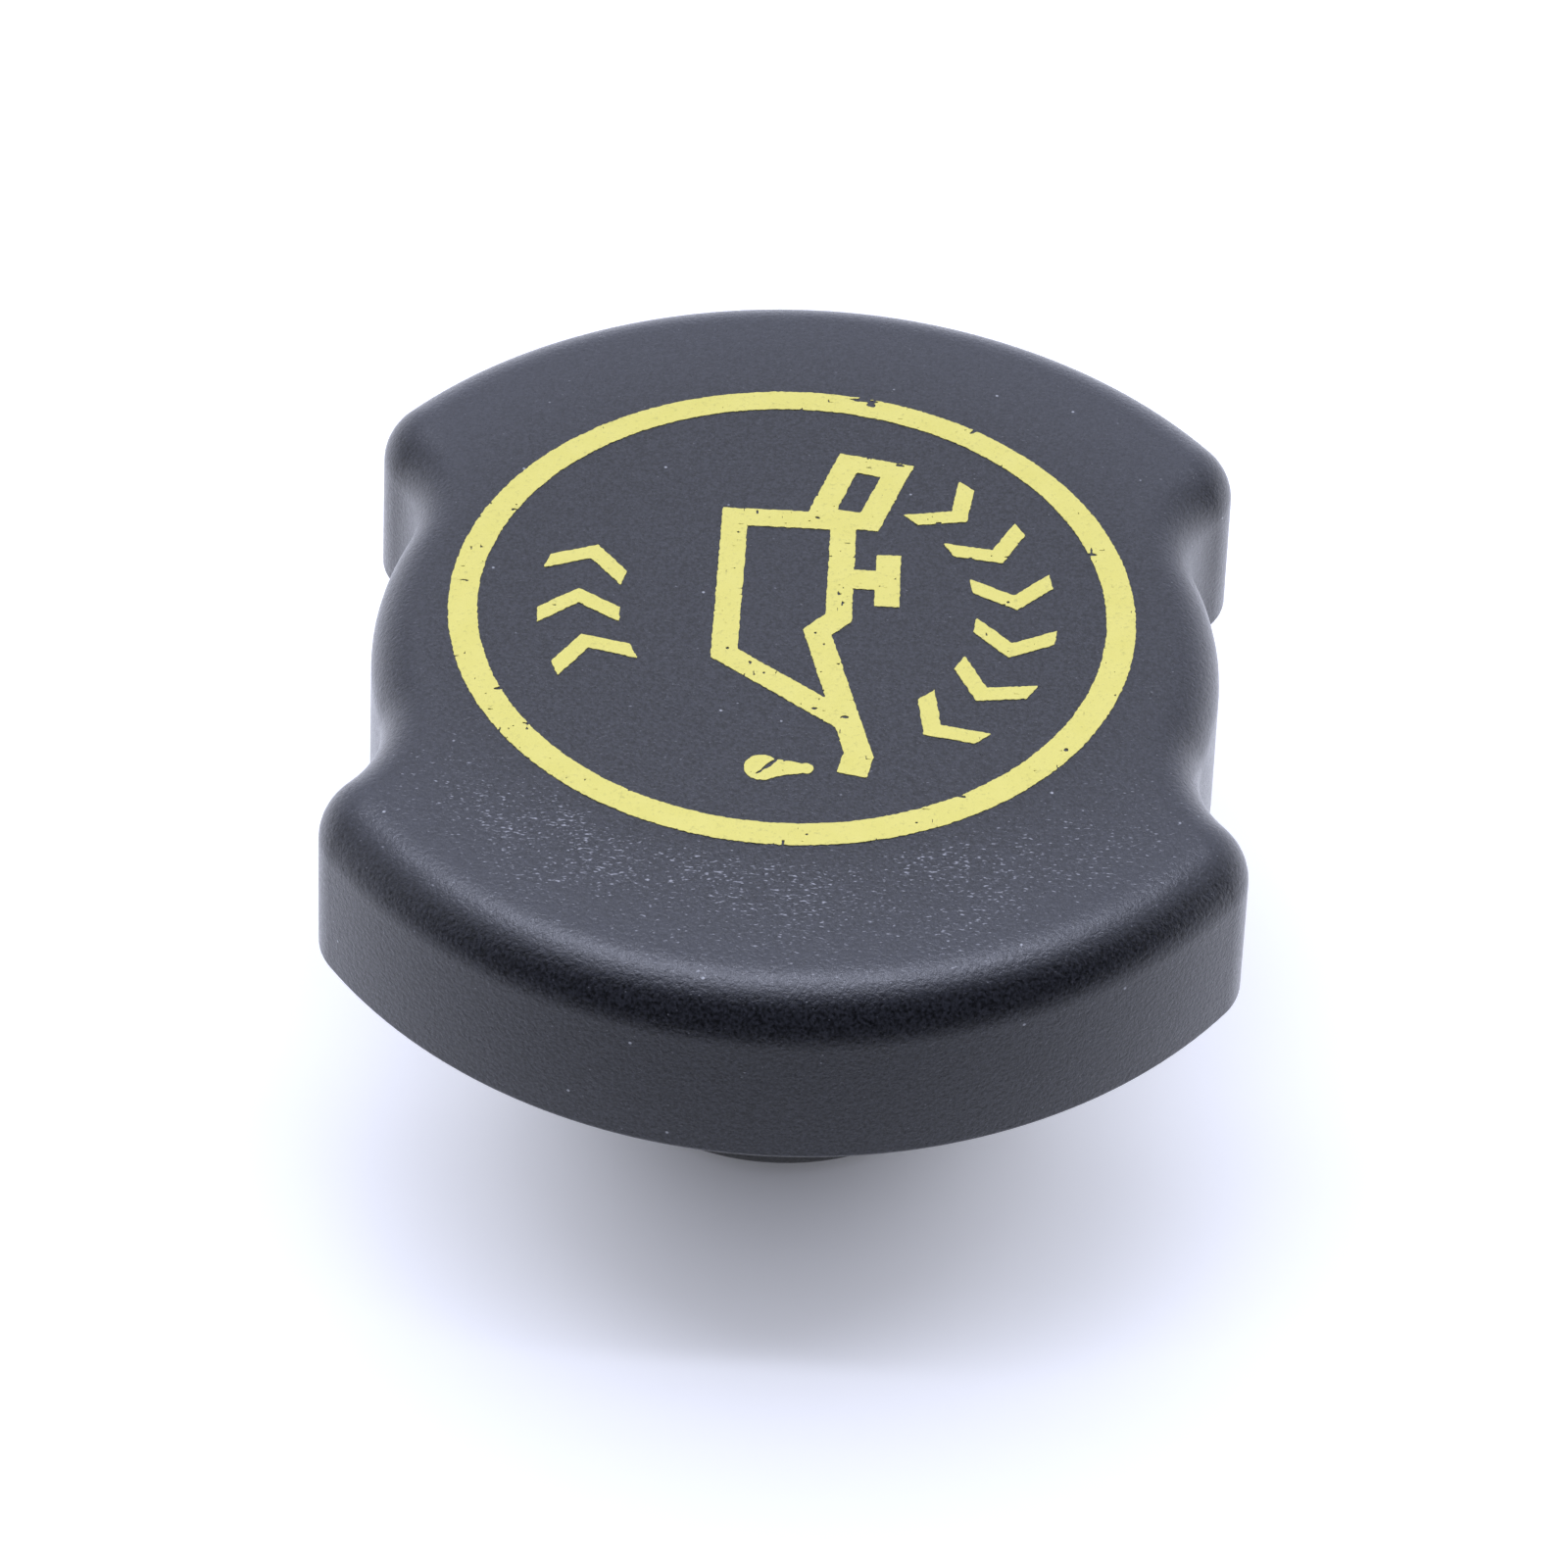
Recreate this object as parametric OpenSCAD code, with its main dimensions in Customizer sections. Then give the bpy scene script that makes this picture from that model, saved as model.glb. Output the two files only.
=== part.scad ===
// Oil filler cap: a moulded head with two finger wings, on a hollow bayonet stem.
// Millimetres, +Z up, origin at the centre of the stem's foot, wings along Y.

/* [Head] */
// Length of the head across both wings
head_l = 75; // [70:0.5:82]
// Width of each wing
head_w = 61.8; // [58:0.2:65]
// Diameter of the round neck between the wings
neck_d = 59; // [52:0.5:60]
// Height of the head from its rim to its flat top
head_h = 13.3; // [11:0.1:18]
// Radius of the hollow fillets where the neck meets the wings
fillet_r = 8.1; // [5:0.1:10]
// Radius of the wings' upright corners
corner_r = 5.2; // [4.8:0.1:7]
// Radius of the soft edge round the top
top_edge_r = 3.8; // [1:0.1:4]
// Lean of the outer and inner side walls, in degrees
draft = 2.4; // [0.5:0.1:4]
// Chamfer round the foot of the side wall
rim_chamfer = 0.4; // [0.2:0.1:0.8]

/* [Shell and ribs] */
// Thickness of the side wall
wall_t = 2.6; // [2:0.1:3]
// Thickness of the top
top_t = 2.8; // [2:0.1:4]
// Radius inside the shell where the wall meets the top
inner_edge_r = 1; // [0.5:0.1:1.2]
// Thickness of the ribs under the head
rib_t = 2; // [1.4:0.1:2.6]
// Spacing of the ribs in a wing
rib_pitch = 13; // [11:0.5:14]
// Step from the rim up to the ribs' lower edges
rib_recess = 1.4; // [0.5:0.1:3]

/* [Stem] */
// Length of the stem below the head's rim
stem_l = 26; // [23:0.5:34]
// Diameter of the stem
stem_d = 32; // [30:0.2:33]
// Wall thickness of the hollow stem
stem_wall = 3; // [2:0.1:4]
// Step from the stem in to the nose that guides the cap into the neck
nose_step = 0.5; // [0.3:0.1:0.9]
// Length of the nose below the lugs, with its chamfer
nose_l = 6.5; // [5:0.5:8]
// Chamfer at the stem's foot
foot_chamfer = 1; // [0.5:0.1:1.5]

/* [Bayonet lugs] */
// How far a lug stands out from the stem
lug_reach = 3.7; // [2.5:0.1:5]
// Angle that one lug covers, in degrees
lug_arc = 52; // [40:1:60]
// Height of a lug
lug_h = 4.4; // [3.5:0.1:5]
// Slope of the lead-in ramp on a lug, in degrees
ramp_slope = 10; // [5:1:14]
// Share of a lug's arc that the ramp takes
ramp_share = 0.55; // [0.3:0.05:0.7]
// Angle of the stop at a lug's far end, in degrees
stop_arc = 9; // [6:1:14]
// Height of the stop above the lug
stop_h = 2.6; // [1.5:0.1:4]

/* [Sealing ring] */
// Width of the sealing ring, from its inner to its outer edge
seal_w = 6.2; // [5:0.1:6.8]
// Thickness of the sealing ring
seal_t = 3.2; // [2.5:0.1:4]
// Radius of the sealing ring's edges
seal_edge_r = 0.6; // [0.3:0.1:0.9]
// Gap between the sealing ring and the stem
seal_gap = 0.1; // [0.05:0.05:0.3]
// Width of the seat under the ring's outer part
seat_wall = 2.3; // [1.8:0.1:3]
// How far the seat reaches past the sealing ring
seat_lip = 0.2; // [0:0.1:1]
// Width of the collar at the stem's root
collar_w = 1.6; // [1.2:0.1:2]
// Height of the bead on the stem that keeps the ring on
bead_h = 0.5; // [0.3:0.1:0.8]

/* [Print] */
// Thickness of the printed marks
ink_t = 0.1; // [0.05:0.05:0.2]
// Offset of the print from the head's centre, across the wings
print_x = -0.4; // [-1:0.1:1]
// Offset of the print from the head's centre, along the wings
print_y = 1.2; // [-1.5:0.1:1.5]
// Distance from the neck's side in to the printed ring
ring_inset = 6; // [5.6:0.1:8]
// Width of the printed ring
ring_w = 2; // [1:0.1:3]
// Gap between the printed ring and each end of the oil can symbol
symbol_gap = 4.9; // [4.5:0.1:7]
// Width of the oil can symbol's lines
line_w = 1.8; // [1.2:0.1:2.2]
// Gap between the printed ring and the long row of arrows
long_row_gap = 3.4; // [2.6:0.1:4.6]
// Number of arrows in the long row
long_row_n = 6; // [1:1:7]
// Gap between the printed ring and the short row of arrows
short_row_gap = 4.1; // [2.6:0.1:4.6]
// Number of arrows in the short row
short_row_n = 3; // [1:1:5]
// Direction of the long row's middle, in degrees
long_row_angle = 0; // [-8:1:8]
// Direction of the short row's middle, in degrees
short_row_angle = 184; // [172:1:188]
// Angle between neighbouring arrows, in degrees
arrow_pitch = 18.6; // [16:0.2:22]
// Height of an arrow across its row
arrow_h = 5.6; // [4:0.2:6]
// Depth of an arrow along its row
arrow_depth = 2; // [1:0.1:2.4]
// Width of an arrow's arms along its row
arrow_w = 1.5; // [0.8:0.1:1.8]

/* [Hidden] */
$fn = 96;
black_plastic = [0.13, 0.13, 0.15];
black_rubber = [0.08, 0.08, 0.09];
yellow_ink = [0.92, 0.9, 0.54];

// Overrun of a cut past the face that it leaves
over = 1;
// Heights of the head's rim, the flat under its top, and its top
rim_z = stem_l;
ceiling_z = rim_z + head_h - top_t;
top_z = rim_z + head_h;

// Plan of the head: arcs about the centre, about a corner centre and about a fillet centre
wing_r = head_l / 2;
neck_r = neck_d / 2;
// Width that the draft and the soft edge take from the top of a wall
function edge_run(height, edge) = (edge + (height - edge) * sin(draft)) / cos(draft);
// Smallest radius that a wall may keep at its top
least_r = 0.2;
edge_r = min(top_edge_r, corner_r - least_r - head_h * tan(draft));
corner_x = head_w / 2 - corner_r;
corner_reach = wing_r - corner_r;
corner_y = sqrt(pow(corner_reach, 2) - pow(corner_x, 2));
corner_angle = atan2(corner_y, corner_x);
fillet_reach = neck_r + fillet_r;
fillet_to_corner = fillet_r + corner_r;
// Angle at the head's centre between the lines to a corner centre and to its fillet centre
fillet_turn = acos((pow(fillet_reach, 2) + pow(corner_reach, 2) - pow(fillet_to_corner, 2))
    / (2 * fillet_reach * corner_reach));
fillet_angle = corner_angle - fillet_turn;
fillet_x = fillet_reach * cos(fillet_angle);
fillet_y = fillet_reach * sin(fillet_angle);
// Direction from the fillet centre to the corner centre
corner_heading = atan2(corner_y - fillet_y, corner_x - fillet_x);

// Stem, seat and lugs
stem_r = stem_d / 2;
bore_r = stem_r - stem_wall;
nose_r = stem_r - nose_step;
collar_r = stem_r + collar_w;
seal_r = stem_r + seal_gap + seal_w;
seat_r = seal_r + seat_lip;
seal_z = rim_z - seal_t;
lug_r = stem_r + lug_reach;
lug_z = nose_l;
lug_top_z = lug_z + lug_h;
ramp_arc = lug_arc * ramp_share;

// Printed ring, and the circles on which the two rows of arrows lie
ring_r = neck_r - ring_inset;
long_row_r = ring_r - ring_w - long_row_gap - arrow_h / 2;
short_row_r = ring_r - ring_w - short_row_gap - arrow_h / 2;

// Length kept to a tenth of a micron, so that neighbouring arcs share one section
function fine(length) = round(length * 10000) / 10000;
// Point far out in a direction, for the sides of a sector
function far(angle) = 2 * head_l * [cos(angle), sin(angle)];

// A profile swept round the Z axis from one angle to another
module sweep(from, to) {
    rotate_extrude(angle = to - from, start = from) children();
}

// Moved to a corner's or fillet's centre, in a coarse and a fine step that lose no digit
module at_centre(x, y) {
    coarse = [round(x), round(y), 0];
    translate(coarse) translate([x, y, 0] - coarse) children();
}

// Outer part of a wall's section, from the centre of its soft edge out
module wall_edge(height, edge, chamfer, below) {
    run = fine(edge_run(height, edge));
    drop = height - edge;
    // The straight wall ends just inside the round edge, so that the two cross cleanly
    tuck = 0.001;
    polygon([
        [0, -drop - below],
        [run - chamfer + below * tan(draft), -drop - below],
        [run - chamfer * tan(draft), chamfer - drop],
        [(edge - tuck) * cos(draft), (edge - tuck) * sin(draft)],
        [0, 0]
    ]);
    intersection() {
        circle(edge);
        translate([0, -edge / 2]) square([edge, 2 * edge]);
    }
}

// Section from an inner radius out to a wall whose radius at the rim is given
module wall_section(from, radius, height, edge, chamfer, below) {
    edge_x = radius - fine(edge_run(height, edge));
    translate([from, -below]) square([edge_x - from, height + below]);
    translate([edge_x, height - edge]) wall_edge(height, edge, chamfer, below);
}

// Upright prism that keeps one sector of a swept arc
module sector(points, height, below) {
    translate([0, 0, -below - over]) linear_extrude(height + below + 2 * over) polygon(points);
}

// Solid with the head's outline, moved in by an inset, with drafted walls and a soft top edge.
// Each quarter is four sectors that meet where their arcs are tangent.
module head_form(inset, height, edge, chamfer, below) {
    // Round core, into which the sectors run
    core_r = 10;
    from = core_r / 2;
    // Angle that a sweep runs past the sector that trims it
    spare = 4;
    to_corner = far(corner_heading);
    translate([0, 0, -below]) cylinder(r = core_r, h = height + below);
    for (side = [0, 1], end = [0, 1]) mirror([side, 0, 0]) mirror([0, end, 0]) {
        intersection() {
            sweep(-spare, fillet_angle + spare)
                wall_section(from, neck_r - inset, height, edge, chamfer, below);
            sector([[0, 0], far(0), far(fillet_angle)], height, below);
        }
        intersection() {
            sweep(corner_angle - spare, 90 + spare)
                wall_section(from, wing_r - inset, height, edge, chamfer, below);
            sector([[0, 0], far(corner_angle), far(90)], height, below);
        }
        intersection() {
            at_centre(corner_x, corner_y) rotate_extrude()
                wall_section(0, corner_r - inset, height, edge, chamfer, below);
            sector([[0, 0], far(0), far(corner_angle)], height, below);
            at_centre(fillet_x, fillet_y) sector([-to_corner, far(0), to_corner], height, below);
        }
        intersection() {
            at_centre(fillet_x, fillet_y) sweep(corner_heading - spare, 180 + fillet_angle + spare)
                translate([fillet_reach + inset, 0]) mirror([1, 0])
                    wall_section(from, neck_r, height, edge, chamfer, below);
            sector([[0, 0], far(fillet_angle), far(corner_angle)], height, below);
            at_centre(fillet_x, fillet_y) sector([to_corner, far(180), -to_corner], height, below);
        }
    }
}

// Ring between two radii and two heights
module ring(inner, outer, low, high) {
    rotate_extrude() translate([inner, low]) square([outer - inner, high - low]);
}

// Ribs, collar and seat, which stand in the hollow of the head
module standing_ribs() {
    rib_z = rim_z + rib_recess;
    rib_h = head_h - rib_recess;
    // Middle of the seat, where the outer ribs start
    middle_r = seat_r - seat_wall / 2;
    // Parallel ribs that tie the seat to the end of each wing
    for (end = [0, 1], x = rib_pitch * [-1, 0, 1]) mirror([0, end, 0])
        translate([x - rib_t / 2, sqrt(pow(middle_r, 2) - pow(x, 2)), rib_z])
            cube([rib_t, wing_r, rib_h]);
    // Short webs between the collar and the seat, in line with the middle ribs
    for (turn = [0 : 90 : 270]) rotate([0, 0, turn])
        translate([collar_r - over / 2, -rib_t / 2, rib_z])
            cube([seat_r - collar_r, rib_t, rib_h]);
    // Ribs that tie the seat to the neck
    for (turn = [0, 180]) rotate([0, 0, turn])
        translate([middle_r, -rib_t / 2, rib_z])
            cube([neck_r - seat_r, rib_t, rib_h]);
    ring(0, collar_r, rim_z, top_z);
    ring(seat_r - seat_wall, seat_r, rim_z, top_z);
}

module head() {
    difference() {
        translate([0, 0, rim_z]) head_form(0, head_h, edge_r, rim_chamfer, 0);
        difference() {
            translate([0, 0, rim_z]) head_form(wall_t, head_h - top_t, inner_edge_r, 0, over);
            standing_ribs();
        }
    }
}

// Outside of the stem, from the chamfered foot up into the head
module stem_solid() {
    rotate_extrude() {
        polygon([
            [0, 0],
            [nose_r - foot_chamfer, 0],
            [nose_r, foot_chamfer],
            [nose_r, lug_z],
            [stem_r, lug_z],
            [stem_r, ceiling_z + over],
            [0, ceiling_z + over]
        ]);
        // Bead just under the sealing ring
        translate([stem_r, seal_z - bead_h - seal_gap]) intersection() {
            circle(bead_h);
            translate([0, -bead_h]) square([bead_h, 2 * bead_h]);
        }
    }
}

// One lug at +X: a ramp that starts low, a level stretch, and a stop that ends the turn
module lug() {
    inside_r = (bore_r + nose_r) / 2;
    difference() {
        sweep(-lug_arc / 2, lug_arc / 2)
            translate([inside_r, lug_z]) square([lug_r - inside_r, lug_h]);
        rotate([0, 0, ramp_arc - lug_arc / 2]) translate([0, 0, lug_top_z])
            rotate([ramp_slope, 0, 0]) translate([stem_r, -2 * lug_r, 0])
                cube([lug_r, 2 * lug_r, 2 * lug_h]);
    }
    sweep(lug_arc / 2 - stop_arc, lug_arc / 2)
        translate([inside_r, lug_z]) square([lug_r - inside_r, lug_h + stop_h]);
}

module cap_body() {
    color(black_plastic) difference() {
        union() {
            head();
            stem_solid();
            for (turn = [0, 180]) rotate([0, 0, turn]) lug();
        }
        translate([0, 0, -over]) cylinder(r = bore_r, h = ceiling_z + over);
    }
}

module sealing_ring() {
    color(black_rubber) rotate_extrude() translate([stem_r + seal_gap, seal_z]) {
        translate([seal_edge_r, 0]) square([seal_w - 2 * seal_edge_r, seal_t]);
        translate([0, seal_edge_r]) square([seal_w, seal_t - 2 * seal_edge_r]);
        for (x = [seal_edge_r, seal_w - seal_edge_r], z = [seal_edge_r, seal_t - seal_edge_r])
            translate([x, z]) circle(seal_edge_r);
    }
}

// Flat marks on the top, about the middle of the print
module printed() {
    color(yellow_ink) translate([print_x, print_y, top_z]) linear_extrude(ink_t) children();
}

module printed_ring() {
    printed() difference() {
        circle(ring_r);
        circle(ring_r - ring_w);
    }
}

// Unit normal to the left of the line from one point to another
function left_of(from, to) = [from[1] - to[1], to[0] - from[0]] / norm(to - from);
// Corner between two lines, moved so that both lines shift to their left by a distance
function moved_corner(before, corner, after, distance) =
    let (a = left_of(before, corner), b = left_of(corner, after))
    corner + distance * (a + b) / (1 + a * b);
// Closed outline with each side shifted to its left by a distance
function moved_outline(points, distance) = [
    for (i = [0 : len(points) - 1])
        moved_corner(points[(i + len(points) - 1) % len(points)], points[i],
            points[(i + 1) % len(points)], distance)
];

// Closed line of a given width along an anticlockwise outline
module outline(points, width) {
    difference() {
        polygon(moved_outline(points, -width / 2));
        polygon(moved_outline(points, width / 2));
    }
}

// Oil can symbol, drawn with its spout to the right and the drop below the spout.
// Its corners are counted in a unit of which the whole symbol has 33.2
unit = 2 * (ring_r - ring_w - symbol_gap) / 33.2;
can_heel = unit * [5.2, -4.4];
can_back = unit * [-9.2, -4.4];
can_top_back = unit * [-9.2, 3.2];
can_top_front = unit * [1, 3.2];
spout_root = unit * [2.6, 1.8];
spout_slope = 15;
// Distances along the spout from its root to its join with the front, and to its tip
spout_join = unit * 9.2;
spout_l = unit * 12.9;
function on_spout(along, across) = spout_root
    + along * [cos(spout_slope), sin(spout_slope)] + across * [-sin(spout_slope), cos(spout_slope)];

// Outer edge of the can and its spout, as one closed line; the tip of the spout turns down
module can_and_spout() {
    join = on_spout(spout_join, 0);
    tip = on_spout(spout_l, 0);
    out = -line_w / 2;
    difference() {
        polygon([
            moved_corner(can_top_back, can_back, can_heel, out),
            moved_corner(can_back, can_heel, join, out),
            moved_corner(can_heel, join, tip, out),
            on_spout(spout_l + out, out),
            on_spout(spout_l - out, 2 * out),
            on_spout(spout_l - 2 * out, 0),
            on_spout(spout_l, -out),
            moved_corner(tip, spout_root, can_top_front, out),
            moved_corner(spout_root, can_top_front, can_top_back, out),
            moved_corner(can_top_front, can_top_back, can_back, out)
        ]);
        polygon(moved_outline(
            [can_back, can_heel, join, spout_root, can_top_front, can_top_back], -out));
    }
}

module oil_can_symbol() {
    can_and_spout();
    // Grip at the back
    outline(unit * [[-15.7, 3.3], [-9.7, 1.5], [-9.3, 5], [-15, 6.8]], line_w);
    // Filler cap: a short neck and a bar
    translate(unit * [-4.1, 3.2]) square(unit * [2, 3]);
    translate(unit * [-5.8, 5.6]) square(unit * [5.4, 1.7]);
    // Drop with a thin tail
    translate(unit * [16.3, -1.3]) circle(unit * 1.2);
    polygon(unit * [[17.3, -1.2], [16.6, 1.6], [15.8, 1.6], [15.3, -1.2]]);
    translate(unit * [16.2, 1.6]) circle(unit * 0.5);
}

module printed_oil_can() {
    // The symbol is read from the left side, with its top towards +X
    printed() rotate(-90) oil_can_symbol();
}

// Arrow at +X that points clockwise along its row
module arrow() {
    half = arrow_h / 2;
    polygon([
        [-half, 0],
        [0, -arrow_depth],
        [half, 0],
        [half, arrow_w],
        [0, arrow_w - arrow_depth],
        [-half, arrow_w]
    ]);
}

// Row of arrows on a circle, spread evenly about a middle direction
module arrow_row(radius, count, middle) {
    for (i = [0 : count - 1])
        rotate(middle + (i - (count - 1) / 2) * arrow_pitch)
            translate([radius, arrow_depth / 2 - arrow_w / 2]) arrow();
}

module printed_arrows() {
    printed() {
        arrow_row(long_row_r, long_row_n, long_row_angle);
        arrow_row(short_row_r, short_row_n, short_row_angle);
    }
}

cap_body();
sealing_ring();
printed_ring();
printed_oil_can();
printed_arrows();
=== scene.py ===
"""Looks of the oil filler cap: a charcoal nylon moulding, a rubber sealing ring and chipped yellow print."""
import bpy
import numpy as np
from mathutils import Matrix, Vector


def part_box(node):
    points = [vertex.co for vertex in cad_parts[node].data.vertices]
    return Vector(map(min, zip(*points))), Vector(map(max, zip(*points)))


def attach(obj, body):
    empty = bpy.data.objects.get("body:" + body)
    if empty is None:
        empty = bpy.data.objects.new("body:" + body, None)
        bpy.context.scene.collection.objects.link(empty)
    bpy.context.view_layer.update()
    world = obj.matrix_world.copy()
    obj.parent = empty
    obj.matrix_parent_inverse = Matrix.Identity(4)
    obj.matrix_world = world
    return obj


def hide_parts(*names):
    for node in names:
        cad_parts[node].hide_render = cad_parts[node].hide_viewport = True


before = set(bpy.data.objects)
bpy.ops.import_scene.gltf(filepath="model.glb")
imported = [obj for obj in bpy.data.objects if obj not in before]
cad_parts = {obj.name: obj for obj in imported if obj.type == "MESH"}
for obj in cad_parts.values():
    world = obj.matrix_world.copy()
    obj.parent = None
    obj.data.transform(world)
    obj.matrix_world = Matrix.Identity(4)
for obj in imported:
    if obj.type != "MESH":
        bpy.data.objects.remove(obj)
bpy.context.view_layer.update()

MM = 0.001

# Sizes in millimetres, the same ones that the solids have

# Head
HEAD_LENGTH = 75.0
HEAD_WIDTH = 61.8
NECK_DIAMETER = 59.0
HEAD_HEIGHT = 13.3
FILLET_RADIUS = 8.1
CORNER_RADIUS = 5.2
TOP_EDGE_RADIUS = 3.8
DRAFT = np.radians(2.4)
WALL = 2.6
TOP_THICKNESS = 2.8
INNER_EDGE_RADIUS = 1.0

# Ribs under the head
RIB_THICKNESS = 2.0
RIB_PITCH = 13.0
RIB_RECESS = 1.4

# Stem, seat and lugs
STEM_LENGTH = 26.0
STEM_RADIUS = 16.0
BORE_RADIUS = 13.0
NOSE_RADIUS = 15.5
NOSE_LENGTH = 6.5
FOOT_CHAMFER = 1.0
BEAD_HEIGHT = 0.5
COLLAR_RADIUS = 17.6
SEAT_RADIUS = 22.5
SEAT_WALL = 2.3
LUG_RADIUS = 19.7
LUG_ARC = np.radians(52.0)
LUG_HEIGHT = 4.4
RAMP_SLOPE = np.radians(10.0)
RAMP_ARC = 0.55 * LUG_ARC
STOP_ARC = np.radians(9.0)
STOP_HEIGHT = 2.6

# Sealing ring
SEAL_RADIUS = 22.3
SEAL_THICKNESS = 3.2
SEAL_EDGE_RADIUS = 0.6
SEAL_GAP = 0.1

# Print
PRINTED_RING_WIDTH = 2.0
INK_THICKNESS = 0.05

# Chips and scratches in the print: middle, half length, half width, and direction in degrees
CHIPS = (
    # Ring
    (3.7, 24.1, 0.95, 0.2, -8), (4.3, 23.6, 0.36, 0.22, -11), (11.7, 21.1, 0.41, 0.12, 40),
    (20.1, 8.2, 0.34, 0.14, -3), (20.1, 8.6, 0.07, 0.42, 5), (-19.6, -8.7, 0.33, 0.12, 12),
    (-24.0, 1.2, 0.11, 0.12, 0), (-23.8, -2.5, 0.11, 0.15, 0), (-11.0, -19.8, 0.20, 0.09, -24),
    (11.4, -16.9, 0.32, 0.11, -10), (1.5, -21.2, 0.10, 0.11, 0), (8.6, -19.6, 0.11, 0.11, 0),
    (18.3, -11.9, 0.13, 0.14, 0),
    # Oil can, with its grip and its drop
    (1.0, 10.7, 0.21, 0.10, -18), (0.4, 10.3, 0.14, 0.11, 0), (3.6, -9.8, 0.26, 0.13, -10),
    (1.5, -9.1, 0.20, 0.10, 0), (-2.0, -5.8, 0.09, 0.10, 0), (-4.6, -3.5, 0.11, 0.10, 0),
    (1.3, -1.5, 0.11, 0.12, 0), (1.9, -2.6, 0.09, 0.12, 0), (5.5, 3.7, 0.11, 0.10, 0),
    (6.6, 16.9, 0.35, 0.15, -14), (4.3, 17.5, 0.13, 0.11, 0), (-1.3, -14.9, 1.0, 0.17, 47),
)

RIM = STEM_LENGTH
CEILING = RIM + HEAD_HEIGHT - TOP_THICKNESS
TOP = RIM + HEAD_HEIGHT
SEAL_FOOT = RIM - SEAL_THICKNESS
# Height inside the top plate at which the parts under it end, so that they join it
ROOT = CEILING + TOP_THICKNESS / 2


def arc(centre, radius, start, end, count):
    """Points of an arc, centre + radius * (cos a, sin a) for angles a spread evenly from start to end, and
    their directions (cos a, sin a)."""
    angle = np.linspace(start, end, count)
    direction = np.column_stack([np.cos(angle), np.sin(angle)])
    return np.asarray(centre) + radius * direction, direction


def head_plan():
    """Plan of the head at its rim as a closed row of points with their outward normals, anticlockwise.

    A quarter is four arcs that meet where they are tangent: the neck about the head's centre, a hollow
    fillet, a corner, and the wing about the head's centre. The others are its mirror images.
    """
    wing_radius = HEAD_LENGTH / 2
    neck_radius = NECK_DIAMETER / 2
    corner_reach = wing_radius - CORNER_RADIUS
    corner_x = HEAD_WIDTH / 2 - CORNER_RADIUS
    corner = np.array([corner_x, np.sqrt(corner_reach**2 - corner_x**2)])
    corner_angle = np.arctan2(corner[1], corner[0])
    fillet_reach = neck_radius + FILLET_RADIUS
    turn = np.arccos((fillet_reach**2 + corner_reach**2 - (FILLET_RADIUS + CORNER_RADIUS) ** 2)
                     / (2 * fillet_reach * corner_reach))
    fillet_angle = corner_angle - turn
    fillet = fillet_reach * np.array([np.cos(fillet_angle), np.sin(fillet_angle)])
    heading = np.arctan2(*(corner - fillet)[::-1])
    pieces = [
        (arc((0, 0), neck_radius, 0, fillet_angle, 11), 1),
        (arc(fillet, FILLET_RADIUS, np.pi + fillet_angle, heading, 17), -1),
        (arc(corner, CORNER_RADIUS, heading - np.pi, corner_angle, 21), 1),
        (arc((0, 0), wing_radius, corner_angle, np.pi / 2, 33), 1),
    ]
    # The first point of each arc but the first is the last one of the arc before it
    points = np.concatenate([p[min(i, 1):] for i, ((p, _), _) in enumerate(pieces)])
    normals = np.concatenate([side * d[min(i, 1):] for i, ((_, d), side) in enumerate(pieces)])
    rows = []
    for quarter in (points, normals):
        half = np.concatenate([quarter, (quarter * [-1, 1])[-2::-1]])
        rows.append(np.concatenate([half, (half * [1, -1])[-2:0:-1]]))
    return rows


def rounded(corners, steps=5):
    """Open profile through corners given as (across, up, radius), with each inner corner replaced by an arc
    of that radius that is tangent to both of its sides."""
    row = [corners[0][:2]]
    for before, at, after in zip(corners, corners[1:], corners[2:]):
        p, radius = np.array(at[:2], float), at[2]
        a = np.array(before[:2]) - p
        b = np.array(after[:2]) - p
        a, b = a / np.linalg.norm(a), b / np.linalg.norm(b)
        if radius == 0:
            row.append(p)
            continue
        half = np.arccos(np.clip(a @ b, -1, 1)) / 2
        centre = p + (a + b) / np.linalg.norm(a + b) * radius / np.sin(half)
        first = p + a * radius / np.tan(half) - centre
        last = p + b * radius / np.tan(half) - centre
        sweep = np.pi - 2 * half
        share = np.linspace(0, 1, steps + 1)[:, None]
        # The radius turns evenly from the first one to the last
        spokes = (np.sin((1 - share) * sweep) * first + np.sin(share * sweep) * last) / np.sin(sweep)
        row.extend(centre + spokes)
    row.append(corners[-1][:2])
    return np.array([tuple(p) for p in row], float)


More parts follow.
